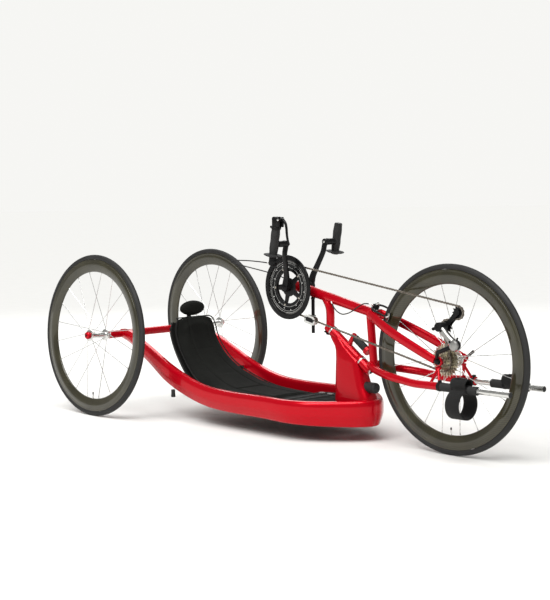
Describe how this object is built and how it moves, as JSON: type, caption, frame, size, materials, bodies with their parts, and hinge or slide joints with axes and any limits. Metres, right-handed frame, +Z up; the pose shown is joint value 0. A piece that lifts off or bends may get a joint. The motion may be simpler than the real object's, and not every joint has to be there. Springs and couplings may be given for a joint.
{
  "type": "handcycle",
  "caption": "Low racing handcycle: reclined seat on cambered rear wheels, hand cranks and chain drive on the steered front wheel.",
  "frame": {"origin": "on the ground in the middle plane, midway between the rear axle and the front axle", "axes": "+X forward, towards the front wheel; +Y to the rider's left; +Z up"},
  "size_m": [2.294, 0.7524, 0.8288],
  "materials": {
    "red_paint": "gloss",
    "black_metal": "satin",
    "black_rubber": "matt",
    "tyre": "matt",
    "carbon": "woven fibre under clear lacquer",
    "silver": "polished",
    "steel": "satin",
    "seat_fabric": "woven"
  },
  "bodies": {
    "frame": {"axle_beam": "red_paint", "rail_right": "red_paint", "rail_left": "red_paint", "rail_foot_right": "black_rubber", "rail_foot_left": "black_rubber", "riser": "red_paint", "head_tube": "red_paint", "riser_stop": "black_rubber", "seat_cushion": "seat_fabric", "seat_pan": "black_metal", "backrest_frame": "black_metal", "headrest_pad": "seat_fabric", "leg_sling": "seat_fabric"},
    "fork": {"boom": "red_paint", "rear_strut": "red_paint", "front_strut": "red_paint", "steerer": "silver", "centering_bumper": "black_rubber", "fork_blade_right": "red_paint", "fork_blade_left": "red_paint", "lower_tube_right": "red_paint", "lower_tube_left": "red_paint", "front_axle": "steel", "chain": "steel", "derailleur_body": "black_metal", "guide_post": "black_metal", "shifter_cable": "black_rubber", "brake_cable": "black_rubber"},
    "rear_wheel_right": {"tyre_rear_right": "tyre", "rim_rear_right": "carbon", "hub_spokes_rear_right": "silver", "hub_cap_rear_right": "red_paint"},
    "rear_wheel_left": {"tyre_rear_left": "tyre", "rim_rear_left": "carbon", "hub_spokes_rear_left": "silver", "hub_cap_rear_left": "red_paint"},
    "front_wheel": {"tyre_front": "tyre", "rim_front": "carbon", "hub_spokes_front": "silver"},
    "cassette_body": {"cassette": "steel"},
    "crankset": {"crank_axle": "steel", "crank_arm_right": "black_metal", "crank_arm_left": "black_metal", "chainring_small": "black_metal", "chainring_big": "steel", "chain_guard": "black_metal"},
    "grip_right_body": {"grip_right": "black_rubber"},
    "grip_left_body": {"grip_left": "black_rubber"},
    "brake_lever_body": {"brake_lever": "black_metal"},
    "caliper_right_body": {"caliper_arm_right": "black_metal"},
    "caliper_left_body": {"caliper_arm_left": "black_metal"},
    "chain_guide_body": {"chain_guide": "silver"},
    "cage_body": {"derailleur_cage": "black_metal"},
    "guide_pulley_body": {"guide_pulley": "black_metal"},
    "tension_pulley_body": {"tension_pulley": "black_metal"},
    "foot_right_body": {"foot_tube_right": "silver", "foot_rest_right": "black_rubber"},
    "foot_left_body": {"foot_tube_left": "silver", "foot_rest_left": "black_rubber"},
    "axle_lever_body": {"front_axle_lever": "black_metal"}
  },
  "joints": [
    {"name": "rear_right_spin", "type": "hinge", "parent": "frame", "child": "rear_wheel_right", "pos_m": [-0.813, -0.33352, 0.33354], "axis": [0, -0.9986, 0.0523], "continuous": true},
    {"name": "rear_left_spin", "type": "hinge", "parent": "frame", "child": "rear_wheel_left", "pos_m": [-0.813, 0.33352, 0.33354], "axis": [0, 0.9986, 0.0523], "continuous": true},
    {"name": "steering", "type": "hinge", "parent": "frame", "child": "fork", "pos_m": [0.803, 0, 0], "axis": [-0.8161, 0, 0.5779], "range_deg": [-25, 25], "stiffness_Nm_per_rad": 40},
    {"name": "front_wheel_spin", "type": "hinge", "parent": "fork", "child": "front_wheel", "pos_m": [0.813, 0, 0.334], "axis": [0, 1, 0], "continuous": true},
    {"name": "crank_spin", "type": "hinge", "parent": "fork", "child": "crankset", "pos_m": [0.059, 0, 0.556], "axis": [0, 1, 0], "continuous": true, "deforming": ["shifter_cable"]},
    {"name": "cassette_spin", "type": "hinge", "parent": "fork", "child": "cassette_body", "pos_m": [0.813, 0, 0.334], "axis": [0, 1, 0], "continuous": true},
    {"name": "grip_right_spin", "type": "hinge", "parent": "crankset", "child": "grip_right_body", "pos_m": [0.10429, -0.104, 0.72504], "axis": [0, 1, 0], "continuous": true, "deforming": ["shifter_cable"]},
    {"name": "grip_left_spin", "type": "hinge", "parent": "crankset", "child": "grip_left_body", "pos_m": [0.10429, 0.104, 0.72504], "axis": [0, 1, 0], "continuous": true},
    {"name": "brake_lever_pull", "type": "hinge", "parent": "grip_right_body", "child": "brake_lever_body", "pos_m": [0.14048, -0.166, 0.81682], "axis": [0, 1, 0], "range_deg": [0, 20], "stiffness_Nm_per_rad": 0.6},
    {"name": "caliper_right_pivot", "type": "hinge", "parent": "fork", "child": "caliper_right_body", "pos_m": [0.457, 0, 0.474], "axis": [0.366, 0, 0.9306], "range_deg": [-4, 1.6], "stiffness_Nm_per_rad": 1.5},
    {"name": "caliper_left_pivot", "type": "hinge", "parent": "fork", "child": "caliper_left_body", "pos_m": [0.457, 0, 0.474], "axis": [0.366, 0, 0.9306], "range_deg": [-1.6, 4], "stiffness_Nm_per_rad": 1.5},
    {"name": "chain_guide_swing", "type": "hinge", "parent": "fork", "child": "chain_guide_body", "pos_m": [0.13931, 0, 0.53945], "axis": [0, 0, 1], "range_deg": [-3, 3]},
    {"name": "cage_swing", "type": "hinge", "parent": "fork", "child": "cage_body", "pos_m": [0.831, -0.0445, 0.456], "axis": [0, 1, 0], "range_deg": [-10, 10], "stiffness_Nm_per_rad": 0.5, "deforming": ["chain"]},
    {"name": "guide_pulley_spin", "type": "hinge", "parent": "cage_body", "child": "guide_pulley_body", "pos_m": [0.831, -0.0445, 0.456], "axis": [0, 1, 0], "continuous": true},
    {"name": "tension_pulley_spin", "type": "hinge", "parent": "cage_body", "child": "tension_pulley_body", "pos_m": [0.881, -0.0445, 0.505], "axis": [0, 1, 0], "continuous": true},
    {"name": "foot_right_slide", "type": "slide", "parent": "fork", "child": "foot_right_body", "axis": [1, 0, 0], "range_m": [0, 0.06]},
    {"name": "foot_left_slide", "type": "slide", "parent": "fork", "child": "foot_left_body", "axis": [1, 0, 0], "range_m": [0, 0.06]},
    {"name": "axle_lever_turn", "type": "hinge", "parent": "fork", "child": "axle_lever_body", "pos_m": [0.813, 0.078, 0.334], "axis": [0, 1, 0], "range_deg": [-40, 30]}
  ],
  "couplings": [
    {"joint": "cassette_spin", "follows": "crank_spin", "ratio": 2.4444},
    {"joint": "guide_pulley_spin", "follows": "crank_spin", "ratio": -4},
    {"joint": "tension_pulley_spin", "follows": "crank_spin", "ratio": 4},
    {"joint": "caliper_left_pivot", "follows": "caliper_right_pivot", "ratio": -1}
  ]
}
